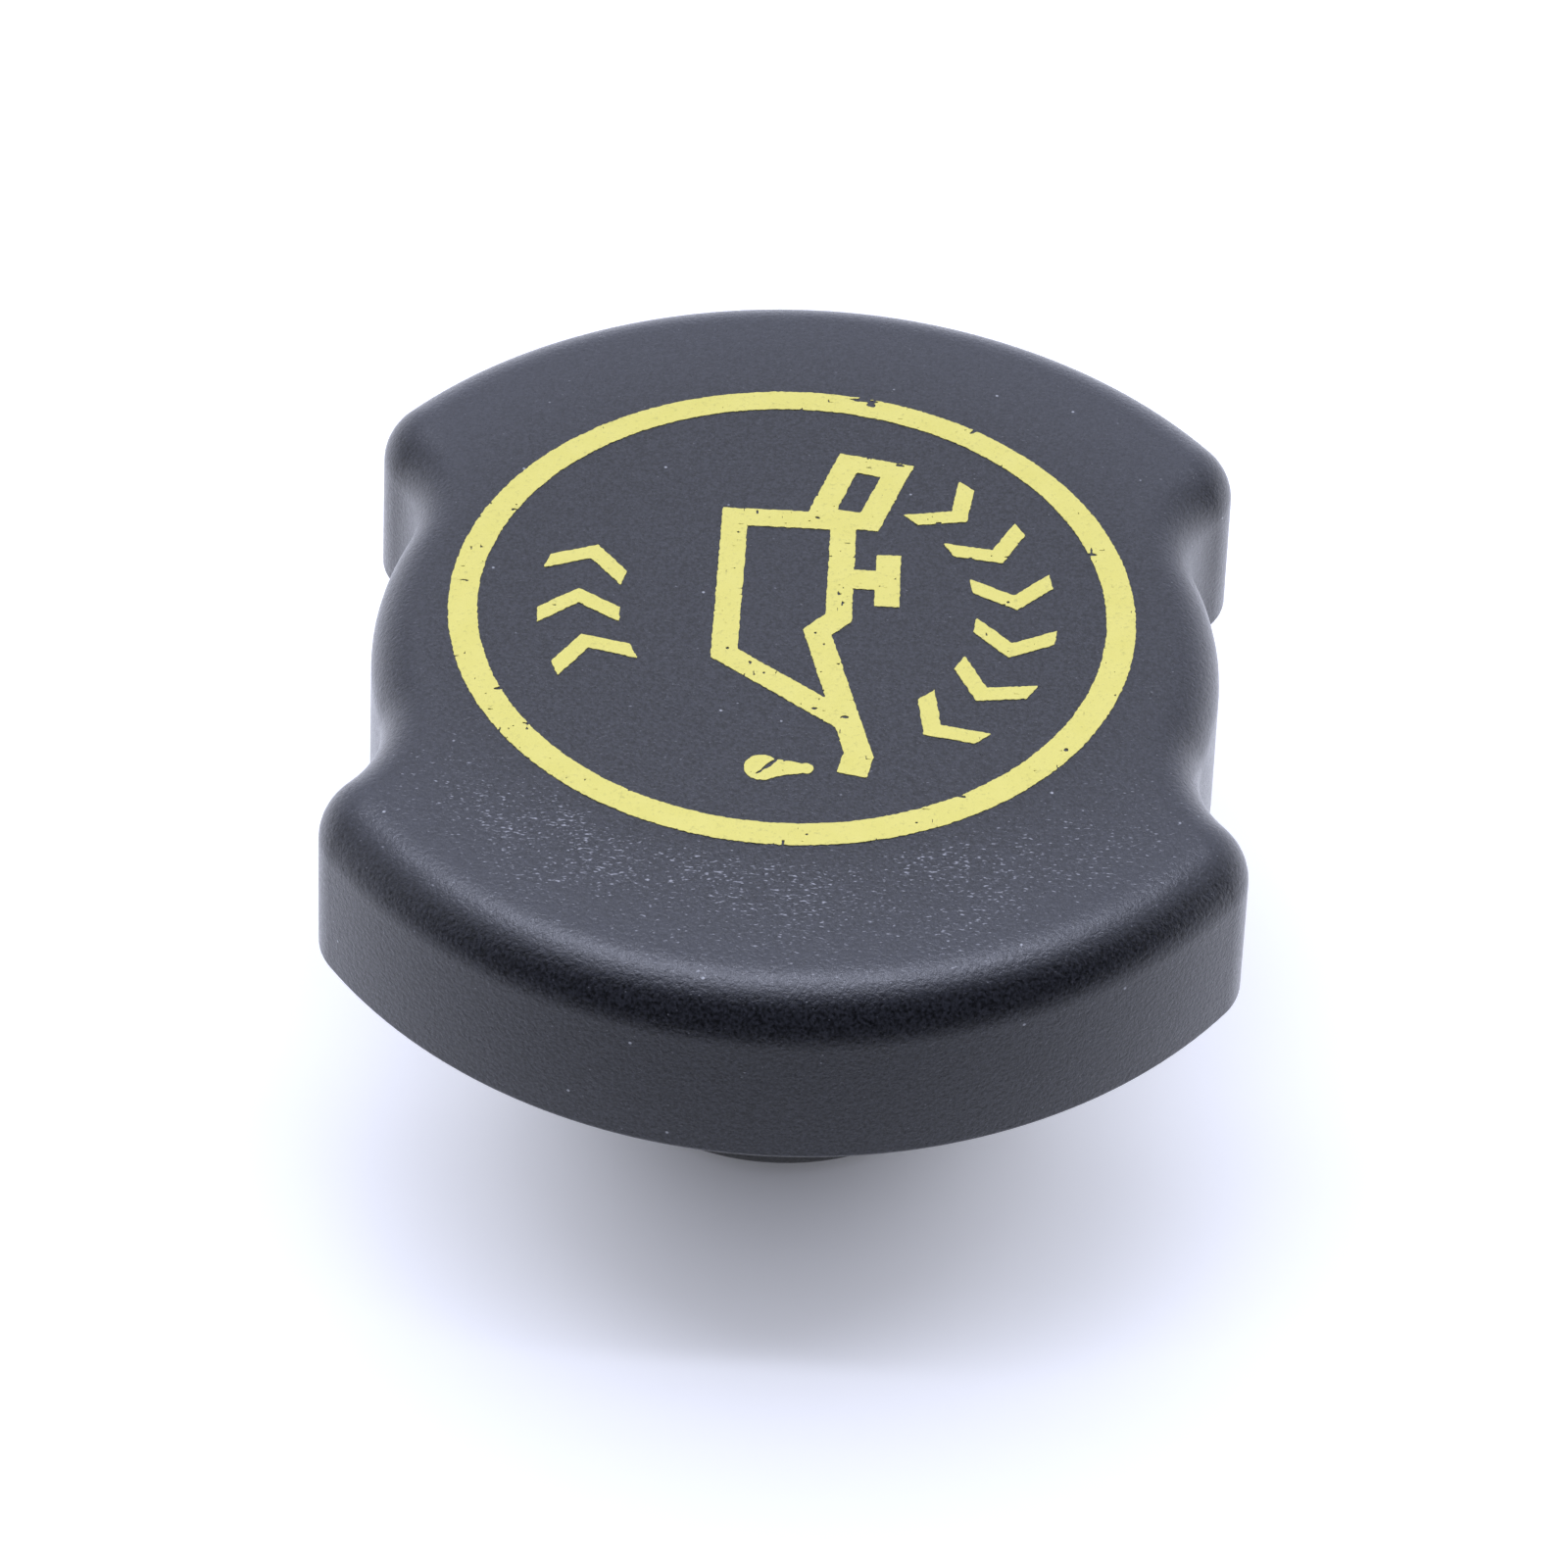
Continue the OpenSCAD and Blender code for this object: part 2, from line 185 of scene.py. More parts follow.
def skin(name, grid, closed_rows=False):
    """Closed mesh over a grid of points in millimetres, whose columns run round the piece. The rows close on
    themselves like a tyre's, or else each end row is closed by a fan to its middle."""
    rows, columns = grid.shape[:2]
    index = np.arange(rows * columns).reshape(rows, columns)
    upper = np.roll(index, -1, axis=0) if closed_rows else index[1:]
    lower = index[:len(upper)]
    quads = np.stack([lower, np.roll(lower, -1, axis=1), np.roll(upper, -1, axis=1), upper], axis=-1)
    vertices = grid.reshape(-1, 3)
    faces = quads.reshape(-1, 4).tolist()
    if not closed_rows:
        middles = grid[[0, -1]].mean(axis=1)
        for end, middle in ((index[0], len(vertices)), (index[-1], len(vertices) + 1)):
            fan = np.column_stack([end, np.roll(end, -1), np.full(columns, middle)])
            faces += (fan if middle > len(vertices) else fan[:, ::-1]).tolist()
        vertices = np.concatenate([vertices, middles])
    mesh = bpy.data.meshes.new(name)
    mesh.from_pydata((vertices * MM).tolist(), [], faces)
    if signed_volume(mesh) < 0:
        mesh.flip_normals()
    mesh.update()
    piece = bpy.data.objects.new(name, mesh)
    bpy.context.scene.collection.objects.link(piece)
    return piece


def signed_volume(mesh):
    """Sum of the tetrahedra from the origin to each triangle, negative if the faces point inwards."""
    mesh.calc_loop_triangles()
    corners = np.zeros(len(mesh.loop_triangles) * 3, np.int32)
    mesh.loop_triangles.foreach_get("vertices", corners)
    place = np.zeros(len(mesh.vertices) * 3)
    mesh.vertices.foreach_get("co", place)
    a, b, c = place.reshape(-1, 3)[corners.reshape(-1, 3)].transpose(1, 0, 2)
    return np.einsum("ij,ij->", a, np.cross(b, c))


def revolve(name, profile, columns=144, closed_rows=True):
    """Profile of (radius, height) points turned round the Z axis: (r cos a, r sin a, z)."""
    angle = np.linspace(0, 2 * np.pi, columns, endpoint=False)
    grid = np.empty((len(profile), columns, 3))
    grid[..., 0] = profile[:, :1] * np.cos(angle)
    grid[..., 1] = profile[:, :1] * np.sin(angle)
    grid[..., 2] = profile[:, 1:]
    return skin(name, grid, closed_rows)


def head_shell():
    """Closed shell of the head: the plan's points move inwards along their normals and up by one profile, which
    runs from the top over the soft edge, down the drafted wall, round the rim and up the inner wall. The flat
    top and ceiling are the profile's end rows, drawn in towards the centre."""
    plan, normals = head_plan()
    lean = np.tan(DRAFT)
    # The profile's ends run a little past its last arcs
    past_arc = 0.3
    flat = HEAD_HEIGHT * lean + TOP_EDGE_RADIUS + past_arc
    hollow = WALL + (CEILING - RIM) * lean
    profile = rounded([
        (flat, TOP, 0),
        (HEAD_HEIGHT * lean, TOP, TOP_EDGE_RADIUS),
        (0, RIM, 0.4),
        (WALL, RIM, 0.3),
        (hollow, CEILING, INNER_EDGE_RADIUS),
        (hollow + INNER_EDGE_RADIUS + past_arc, CEILING, 0),
    ], steps=10)
    walls = np.empty((len(profile), len(plan), 3))
    walls[..., :2] = plan - profile[:, :1, None] * normals
    walls[..., 2] = profile[:, 1:]
    draw = np.array([0.25, 0.5, 0.75, 0.97])[:, None, None]
    top = walls[0] * [1, 1, 0] * draw + [0, 0, TOP]
    ceiling = walls[-1] * [1, 1, 0] * draw[::-1] + [0, 0, CEILING]
    return skin("cap_moulding", np.concatenate([top, walls, ceiling]))


def bar(low, high, edge=0.25):
    """Straight rib between two corners. Its section across Y is a box with its two lower edges rounded."""
    (x0, y0, z0), (x1, y1, z1) = low, high
    section = rounded([(x0, z1, 0), (x0, z0, edge), (x1, z0, edge), (x1, z1, 0)], steps=3)
    grid = np.empty((2, len(section), 3))
    grid[..., 0] = section[:, 0]
    grid[..., 1] = [[y0], [y1]]
    grid[..., 2] = section[:, 1]
    return skin("rib", grid)


def turned(piece, degrees):
    """The piece's mesh turned about the Z axis."""
    piece.data.transform(Matrix.Rotation(np.radians(degrees), 4, "Z"))
    return piece


def ribs():
    """Parallel ribs from the seat to the end of each wing, webs between the collar and the seat, and ribs to
    the neck. Each one ends inside the walls that it joins."""
    half = RIB_THICKNESS / 2
    low = RIM + RIB_RECESS
    seat_middle = SEAT_RADIUS - SEAT_WALL / 2
    for end in (0, 180):
        for x in (-RIB_PITCH, 0, RIB_PITCH):
            start = np.sqrt(seat_middle**2 - x**2)
            reach = np.sqrt((HEAD_LENGTH / 2 - WALL / 2 - 0.5) ** 2 - x**2)
            yield turned(bar((x - half, start, low), (x + half, reach, ROOT)), end)
    for turn in (0, 90, 180, 270):
        yield turned(bar((-half, COLLAR_RADIUS - 0.5, low), (half, seat_middle, ROOT)), turn)
    for turn in (90, 270):
        yield turned(bar((-half, seat_middle, low), (half, NECK_DIAMETER / 2 - WALL / 2, ROOT)), turn)


def stem():
    """Hollow stem: chamfered nose, small step at the lugs, bead under the sealing ring, blind bore."""
    bead_low, bead_high = SEAL_FOOT - SEAL_GAP - 2 * BEAD_HEIGHT, SEAL_FOOT - SEAL_GAP
    bead_middle = (bead_low + bead_high) / 2
    return revolve("stem", rounded([
        (BORE_RADIUS, ROOT, 0),
        (BORE_RADIUS, 0, 0.4),
        (NOSE_RADIUS - FOOT_CHAMFER, 0, 0.3),
        (NOSE_RADIUS, FOOT_CHAMFER, 0.4),
        (NOSE_RADIUS, NOSE_LENGTH, 0),
        (STEM_RADIUS, NOSE_LENGTH, 0.15),
        (STEM_RADIUS, bead_low - 0.1, 0.1),
        (STEM_RADIUS + BEAD_HEIGHT, bead_middle, 0.35),
        (STEM_RADIUS, bead_high + 0.1, 0.1),
        (STEM_RADIUS, ROOT, 0),
    ]))


def standing_ring(name, inner, outer):
    """Upright ring in the hollow of the head, level with its rim, with a rounded lower edge."""
    return revolve(name, rounded([
        (inner, ROOT, 0), (inner, RIM, 0.25), (outer, RIM, 0.25), (outer, ROOT, 0)]))


def lug():
    """Lug at +X: a section carried round the stem. Its top rises along the ramp with the sine of the angle,
    runs level, and steps up to the stop."""
    inside = (BORE_RADIUS + NOSE_RADIUS) / 2
    step = np.radians(0.4)
    start, end = -LUG_ARC / 2, LUG_ARC / 2
    ramp_end, stop = start + RAMP_ARC, end - STOP_ARC
    angle = np.concatenate([
        [start], np.linspace(start + step, ramp_end, 14), np.linspace(ramp_end, stop - step, 9)[1:],
        np.linspace(stop, end - step, 5), [end]])
    # The ends are drawn in a little, which rounds their upright edges
    inset = np.where((angle == start) | (angle == end), 0.15, 0)
    lift = np.where(angle >= stop, STOP_HEIGHT, 0) - np.tan(RAMP_SLOPE) * LUG_RADIUS * np.sin(
        np.maximum(ramp_end - angle, 0))
    section = rounded([
        (inside, LUG_HEIGHT, 0), (inside, 0, 0), (LUG_RADIUS, 0, 0.3), (LUG_RADIUS, LUG_HEIGHT, 0.3),
        (inside, LUG_HEIGHT, 0)], steps=4)[:-1]
    top_side = section[:, 1] > LUG_HEIGHT / 2
    radius = section[:, 0] - inset[:, None] * (section[:, 0] > STEM_RADIUS)
    height = NOSE_LENGTH + section[:, 1] + np.where(top_side, lift[:, None] - inset[:, None], inset[:, None])
    grid = np.stack([radius * np.cos(angle)[:, None], radius * np.sin(angle)[:, None], height], axis=-1)
    return skin("lug", grid)


def join_solid(body, part):
    """Union of two closed pieces in the first one's mesh."""
    union = body.modifiers.new("union", "BOOLEAN")
    union.operation = "UNION"
    union.solver = "MANIFOLD"
    union.object = part
    bake_modifiers(body)
    bpy.data.objects.remove(part)


def bake_modifiers(piece):
    """Puts the result of the piece's modifiers into its mesh."""
    evaluated = piece.evaluated_get(bpy.context.evaluated_depsgraph_get())
    mesh = bpy.data.meshes.new_from_object(evaluated)
    piece.modifiers.clear()
    piece.data = mesh


def shade(piece, crease=35):
    """Smooth shading with sharp edges above an angle, and normals that favour the larger faces, so that flats
    stay flat."""
    piece.data.shade_smooth()
    piece.data.set_sharp_from_angle(angle=np.radians(crease))
    weight = piece.modifiers.new("weighted", "WEIGHTED_NORMAL")
    weight.keep_sharp = True
    bake_modifiers(piece)


def cap_moulding():
    """The one moulding: shell, ribs, collar, seat, stem and lugs joined into one closed surface."""
    body = head_shell()
    parts = [
        standing_ring("seat", SEAT_RADIUS - SEAT_WALL, SEAT_RADIUS),
        standing_ring("collar", STEM_RADIUS - 1.5, COLLAR_RADIUS),
        stem(), lug(), turned(lug(), 180), *ribs()]
    for part in parts:
        join_solid(body, part)
    shade(body)
    return body


def sealing_ring():
    """Flat rubber ring: a rounded rectangle turned round the stem."""
    inner = STEM_RADIUS + SEAL_GAP
    middle = (inner + SEAL_RADIUS) / 2
    edge = SEAL_EDGE_RADIUS
    piece = revolve("rubber_sealing_ring", rounded([
        (middle, SEAL_FOOT, 0), (SEAL_RADIUS, SEAL_FOOT, edge), (SEAL_RADIUS, RIM, edge),
        (inner, RIM, edge), (inner, SEAL_FOOT, edge), (middle, SEAL_FOOT, 0)])[:-1])
    shade(piece)
    return piece


# Print

def mottle(x, y, pitch, seed):
    """Smooth random field from -1 to 1: random values on a square lattice, blended between its points by a
    cubic step."""
    count = 400
    lattice = np.random.default_rng(seed).uniform(-1, 1, (count, count))
    u, v = x / pitch + count / 2, y / pitch + count / 2
    i, j = np.floor(u).astype(int), np.floor(v).astype(int)
    u, v = u - i, v - j
    u, v = u * u * (3 - 2 * u), v * v * (3 - 2 * v)
    low = lattice[i, j] * (1 - u) + lattice[i + 1, j] * u
    high = lattice[i, j + 1] * (1 - u) + lattice[i + 1, j + 1] * u
    return low * (1 - v) + high * v


def node_outline(node):
    """Sides of a flat node's top face, as pairs of points in millimetres: those of its triangles' sides that
    only one triangle has."""
    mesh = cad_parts[node].data
    mesh.calc_loop_triangles()
    corners = np.zeros(len(mesh.loop_triangles) * 3, np.int32)
    mesh.loop_triangles.foreach_get("vertices", corners)
    place = np.zeros(len(mesh.vertices) * 3)
    mesh.vertices.foreach_get("co", place)
    triangles = place.reshape(-1, 3)[corners].reshape(-1, 3, 3) / MM
    top = triangles[np.all(triangles[..., 2] > triangles[..., 2].max() - 0.01, axis=1)][..., :2]
    sides = np.stack([top, np.roll(top, -1, axis=1)], axis=2).reshape(-1, 2, 2)
    keys = np.round(sides, 3) + 0.0
    # A side reads the same from both of its triangles once its lesser end comes first
    start_x, start_y, end_x, end_y = keys.reshape(-1, 4).T
    swap = (start_x > end_x) | ((start_x == end_x) & (start_y > end_y))
    keys[swap] = keys[swap][:, ::-1]
    _, first, count = np.unique(keys.reshape(-1, 4), axis=0, return_index=True, return_counts=True)
    return sides[first[count == 1]]


def outline_distance(x, y, sides):
    """Distance from each point to the nearest side, negative inside: a point is inside if a ray from it towards
    +X crosses an odd number of sides."""
    nearest = np.full(x.shape, np.inf)
    crossings = np.zeros(x.shape, int)
    for (ax, ay), (bx, by) in sides:
        dx, dy = bx - ax, by - ay
        along = np.clip(((x - ax) * dx + (y - ay) * dy) / (dx * dx + dy * dy), 0, 1)
        nearest = np.minimum(nearest, np.hypot(x - ax - along * dx, y - ay - along * dy))
        if dy != 0:
            crossings += ((ay > y) != (by > y)) & (x < ax + (y - ay) * dx / dy)
    return np.where(crossings % 2 == 1, -nearest, nearest)


def film(name, x, y, distance):
    """Thin layer of ink where the distance is negative. Each square of the lattice is two triangles, and each
    triangle is cut where the distance, taken as linear along its sides, is zero."""
    rows, columns = x.shape
    # A lattice point this close to the edge counts as outside, so that no triangle is a sliver
    nearest = 0.004
    distance = np.where(np.abs(distance) < nearest, nearest, distance).ravel()
    place = np.column_stack([x.ravel(), y.ravel()])
    index = np.arange(rows * columns).reshape(rows, columns)
    a, b, c, d = (index[i, j].ravel() for i, j in (
        np.s_[:-1, :-1], np.s_[1:, :-1], np.s_[1:, 1:], np.s_[:-1, 1:]))
    triangles = np.concatenate([np.column_stack([a, b, c]), np.column_stack([a, c, d])])
    inside = distance[triangles] < 0
    count = inside.sum(axis=1)

    def cut(p, q):
        """Number of the cut point between two lattice points, the same for both triangles that share it."""
        return len(place) + np.minimum(p, q) * len(place) + np.maximum(p, q)

    def with_first(chosen, first):
        """The chosen triangles, each turned so that its corner marked by first comes first."""
        start = np.argmax(first[chosen], axis=1)[:, None]
        return np.take_along_axis(triangles[chosen], (start + [0, 1, 2]) % 3, axis=1).T

    one = with_first(count == 1, inside)
    two = with_first(count == 2, ~inside)
    faces = np.concatenate([
        triangles[count == 3],
        np.column_stack([one[0], cut(one[0], one[1]), cut(one[0], one[2])]),
        np.column_stack([cut(two[0], two[1]), two[1], two[2]]),
        np.column_stack([cut(two[0], two[1]), two[2], cut(two[0], two[2])]),
    ])
    used, faces = np.unique(faces, return_inverse=True)
    low, high = np.divmod(used - len(place), len(place))
    cuts = used >= len(place)
    low, high = np.where(cuts, low, used), np.where(cuts, high, used)
    share = np.where(cuts, distance[low] / np.where(cuts, distance[low] - distance[high], 1), 0)[:, None]
    points = np.column_stack([place[low] * (1 - share) + place[high] * share, np.full(len(used), TOP)])
    mesh = bpy.data.meshes.new(name)
    mesh.from_pydata((points * MM).tolist(), [], faces.reshape(-1, 3).tolist())
    piece = bpy.data.objects.new(name, mesh)
    bpy.context.scene.collection.objects.link(piece)
    layer = piece.modifiers.new("layer", "SOLIDIFY")
    layer.thickness = INK_THICKNESS * MM
    layer.offset = 1
    bake_modifiers(piece)
    return piece


def printed(name, node, distance_from):
    """Ink film of a printed node, with the ragged edge and the pits of a worn pad print."""
    low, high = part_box(node)
    cell = 0.1
    margin = 0.5
    across, along = (np.arange(low[i] / MM - margin, high[i] / MM + margin, cell) for i in (0, 1))
    x, y = np.meshgrid(across, along, indexing="ij")
    distance = distance_from(x, y)
    # The edge wanders by a few hundredths of a millimetre, with the grain and more slowly
    distance += 0.045 * mottle(x, y, 0.22, seed=1) + 0.02 * mottle(x, y, 1.1, seed=2)
    # Pits stand where the fine field is near its top, and are more frequent where the broad one is high
    pits = 0.9 - mottle(x, y, 0.3, seed=3) - 0.12 * mottle(x, y, 2.5, seed=4)
    distance = np.maximum(distance, -pits * 0.35)
    return film(name, x, y, np.maximum(distance, -chip_distance(x, y)))


def chip_distance(x, y):
    """Distance to the nearest chip in the print, each a ragged ellipse given by its middle, its half length
    and half width in millimetres, and the direction of its length in degrees."""
    nearest = np.full(x.shape, np.inf)
    for chip_x, chip_y, length, width, turn in CHIPS:
        across, along = np.cos(np.radians(turn)), np.sin(np.radians(turn))
        u = ((x - chip_x) * across + (y - chip_y) * along) / length
        v = ((y - chip_y) * across - (x - chip_x) * along) / width
        nearest = np.minimum(nearest, (np.hypot(u, v) - 1) * width)
    return nearest + 0.06 * mottle(x, y, 0.3, seed=5)


def ring_distance(x, y):
    """Distance to a circular band, from its middle radius and half its width."""
    low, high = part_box("printed_ring")
    middle = (low + high) / 2 / MM
    outer = (high.x - low.x) / 2 / MM
    radius = np.hypot(x - middle.x, y - middle.y)
    return np.abs(radius - outer + PRINTED_RING_WIDTH / 2) - PRINTED_RING_WIDTH / 2


def marks_distance(node):
    """Distance function of a node's own outline."""
    sides = node_outline(node)
    return lambda x, y: outline_distance(x, y, sides)


# Materials

def colour(code):
    """Linear RGBA of an sRGB hex code."""
    value = np.array([int(code[i:i + 2], 16) for i in (1, 3, 5)]) / 255
    linear = np.where(value <= 0.04045, value / 12.92, ((value + 0.055) / 1.055) ** 2.4)
    return (*linear.tolist(), 1.0)


def node(tree, kind, inputs=None, **settings):
    """Adds a node, sets its properties, and fills its inputs with values or with other nodes' outputs."""
    made = tree.nodes.new(kind)
    for name, value in settings.items():
        setattr(made, name, value)
    for name, value in (inputs or {}).items():
        if isinstance(value, bpy.types.NodeSocket):
            tree.links.new(value, made.inputs[name])
        else:
            made.inputs[name].default_value = value
    return made


def new_material(name):
    """Empty node material, its node tree, and Object coordinates in metres."""
    material = bpy.data.materials.new(name)
    material.use_nodes = True
    tree = material.node_tree
    tree.nodes.clear()
    place = node(tree, "ShaderNodeTexCoord").outputs["Object"]
    return material, tree, place


def per_mm(size):
    """Scale of a noise, in metres, whose features are this many millimetres wide."""
    return 1 / (size * MM)


def charcoal_nylon():
    """Glass-filled nylon moulded in a spark-eroded tool: a matte charcoal skin with a fine pimpled grain, a
    painted sheen that makes the top paler towards its edge, and short pale dashes in patches on the top's
    front, which are painted glints."""
    material, tree, place = new_material("charcoal_nylon")

    # Glass fibres just under the skin speckle its tone. They are about 0.01 mm thick and 0.2 mm long, and each
    # is drawn as a spot as wide as it is long, so that it shows
    fibres = node(tree, "ShaderNodeTexNoise", {
        "Vector": place, "Scale": per_mm(0.22), "Detail": 1.0, "Roughness": 0.5}).outputs["Fac"]
    speckle = node(tree, "ShaderNodeMapRange", {
        "Value": fibres, "From Min": 0.32, "From Max": 0.68}).outputs["Result"]
    tone = node(tree, "ShaderNodeMix", {
        "Factor": speckle, "A": colour("#0C0D10"), "B": colour("#303137")},
        data_type="RGBA").outputs["Result"]

    # The top, and the distance from its middle
    where = node(tree, "ShaderNodeSeparateXYZ", {"Vector": place})
    flat = node(tree, "ShaderNodeCombineXYZ", {"X": where.outputs["X"], "Y": where.outputs["Y"]})
    radius = node(tree, "ShaderNodeVectorMath", {0: flat.outputs["Vector"]},
                  operation="LENGTH").outputs["Value"]
    top = node(tree, "ShaderNodeMapRange", {
        "Value": where.outputs["Z"], "From Min": (TOP - 1.0) * MM,
        "From Max": (TOP - 0.1) * MM}).outputs["Result"]

    # Painted sheen: the top is painted paler towards its edge, standing in for its brighter gloss there
    painted_sheen_mask = node(tree, "ShaderNodeMapRange", {
        "Value": radius, "From Min": 22 * MM, "From Max": 36 * MM, "To Max": 0.5}).outputs["Result"]
    painted_sheen_on_top = node(tree, "ShaderNodeMath", {0: top, 1: painted_sheen_mask}, operation="MULTIPLY").outputs["Value"]
    tone_and_painted_sheen = node(tree, "ShaderNodeMix", {"Factor": painted_sheen_on_top, "A": tone, "B": colour("#4A4C53")},
                  data_type="RGBA").outputs["Result"]

    # Painted glints: short pale dashes, rare all over and frequent on the front of the top, just outside the
    # printed ring, with a density that changes slowly from place to place
    front = node(tree, "ShaderNodeMapRange", {
        "Value": where.outputs["Y"], "From Min": -10 * MM, "From Max": -22 * MM}).outputs["Result"]
    outside = node(tree, "ShaderNodeMapRange", {
        "Value": radius, "From Min": 22.5 * MM, "From Max": 24.5 * MM}).outputs["Result"]
    fading = node(tree, "ShaderNodeMapRange", {
        "Value": radius, "From Min": 27 * MM, "From Max": 34 * MM,
        "To Min": 1.0, "To Max": 0.5}).outputs["Result"]
    flow = node(tree, "ShaderNodeTexNoise", {
        "Vector": place, "Scale": per_mm(7), "Detail": 3.0, "Roughness": 0.55}).outputs["Fac"]
    patches = node(tree, "ShaderNodeMapRange", {
        "Value": flow, "From Min": 0.4, "From Max": 0.62, "To Min": 0.6, "To Max": 1.0}).outputs["Result"]
    density = front
    for share in (top, outside, fading, patches):
        density = node(tree, "ShaderNodeMath", {0: density, 1: share}, operation="MULTIPLY").outputs["Value"]

    # Each painted glint is about 0.3 mm long and 0.1 mm wide, and stands where the noise passes a level that
    # falls with their density
    stretched = node(tree, "ShaderNodeMapping", {"Vector": place, "Scale": (0.45, 1.0, 1.0)})
    dashes = node(tree, "ShaderNodeTexNoise", {
        "Vector": stretched.outputs["Vector"], "Scale": per_mm(0.17), "Detail": 1.0,
        "Roughness": 0.5}).outputs["Fac"]
    level = node(tree, "ShaderNodeMath", {0: density, 1: 0.18, 2: dashes},
                 operation="MULTIPLY_ADD").outputs["Value"]
    pale = node(tree, "ShaderNodeMapRange", {
        "Value": level, "From Min": 0.75, "From Max": 0.9, "To Max": 0.9}).outputs["Result"]
    # The pale colour here is a painted glint
    tone_with_painted_glints = node(tree, "ShaderNodeMix", {"Factor": pale, "A": tone_and_painted_sheen, "B": colour("#A3A4AA")},
                   data_type="RGBA").outputs["Result"]

    # Specks of dust, about 0.15 mm wide and a centimetre apart
    specks = node(tree, "ShaderNodeTexVoronoi", {"Vector": place, "Scale": per_mm(3)},
                  feature="F1").outputs["Distance"]
    dust = node(tree, "ShaderNodeMapRange", {
        "Value": specks, "From Min": 0.02, "From Max": 0.045, "To Min": 0.8, "To Max": 0.0}).outputs["Result"]
    base = node(tree, "ShaderNodeMix", {"Factor": dust, "A": tone_with_painted_glints, "B": colour("#B9BBC0")},
                data_type="RGBA").outputs["Result"]

    # The real grain is about 0.15 mm wide, and it is drawn twice as wide so that it shows
    grain = node(tree, "ShaderNodeTexNoise", {
        "Vector": place, "Scale": per_mm(0.32), "Detail": 3.0, "Roughness": 0.65}).outputs["Fac"]
    rough = node(tree, "ShaderNodeMapRange", {
        "Value": grain, "From Min": 0.3, "From Max": 0.7, "To Min": 0.26, "To Max": 0.36}).outputs["Result"]
    bump = node(tree, "ShaderNodeBump", {
        "Height": grain, "Strength": 1.0, "Distance": 0.06 * MM}).outputs["Normal"]
    shader = node(tree, "ShaderNodeBsdfPrincipled", {
        "Base Color": base, "Roughness": rough, "IOR": 1.56, "Normal": bump}).outputs["BSDF"]
    node(tree, "ShaderNodeOutputMaterial", {"Surface": shader})
    return material


def yellow_ink():
    """Pad-printed two-part ink: an even pale yellow, thinner in places so that the dark moulding shows in fine
    pores."""
    material, tree, place = new_material("yellow_pad_print_ink")
    cloud = node(tree, "ShaderNodeTexNoise", {
        "Vector": place, "Scale": per_mm(2.2), "Detail": 4.0, "Roughness": 0.6}).outputs["Fac"]
    tone = node(tree, "ShaderNodeMix", {"Factor": cloud, "A": colour("#E3D868"), "B": colour("#EDE27C")},
                data_type="RGBA").outputs["Result"]
    # The pores follow the moulding's grain, and are drawn as coarse as it is
    pores = node(tree, "ShaderNodeTexNoise", {
        "Vector": place, "Scale": per_mm(0.28), "Detail": 2.0, "Roughness": 0.55}).outputs["Fac"]
    thin = node(tree, "ShaderNodeMapRange", {
        "Value": pores, "From Min": 0.58, "From Max": 0.78, "To Max": 0.28}).outputs["Result"]
    base = node(tree, "ShaderNodeMix", {"Factor": thin, "A": tone, "B": colour("#6E6A3C")},
                data_type="RGBA").outputs["Result"]
    bump = node(tree, "ShaderNodeBump", {
        "Height": pores, "Strength": 1.0, "Distance": 0.04 * MM}).outputs["Normal"]
    shader = node(tree, "ShaderNodeBsdfPrincipled", {
        "Base Color": base, "Roughness": 0.5, "IOR": 1.5, "Normal": bump}).outputs["BSDF"]
    node(tree, "ShaderNodeOutputMaterial", {"Surface": shader})
    return material


def black_nitrile():
    """Nitrile rubber pressed in a smooth mould: near black, with a soft sheen and a faint bloom."""
    material, tree, place = new_material("black_nitrile_rubber")
    bloom = node(tree, "ShaderNodeTexNoise", {
        "Vector": place, "Scale": per_mm(3), "Detail": 3.0, "Roughness": 0.6}).outputs["Fac"]
    tone = node(tree, "ShaderNodeMix", {"Factor": bloom, "A": colour("#131314"), "B": colour("#222223")},
                data_type="RGBA").outputs["Result"]
    rough = node(tree, "ShaderNodeMapRange", {
        "Value": bloom, "From Min": 0.3, "From Max": 0.7, "To Min": 0.45, "To Max": 0.65}).outputs["Result"]
    shader = node(tree, "ShaderNodeBsdfPrincipled", {
        "Base Color": tone, "Roughness": rough, "IOR": 1.52}).outputs["BSDF"]
    node(tree, "ShaderNodeOutputMaterial", {"Surface": shader})
    return material


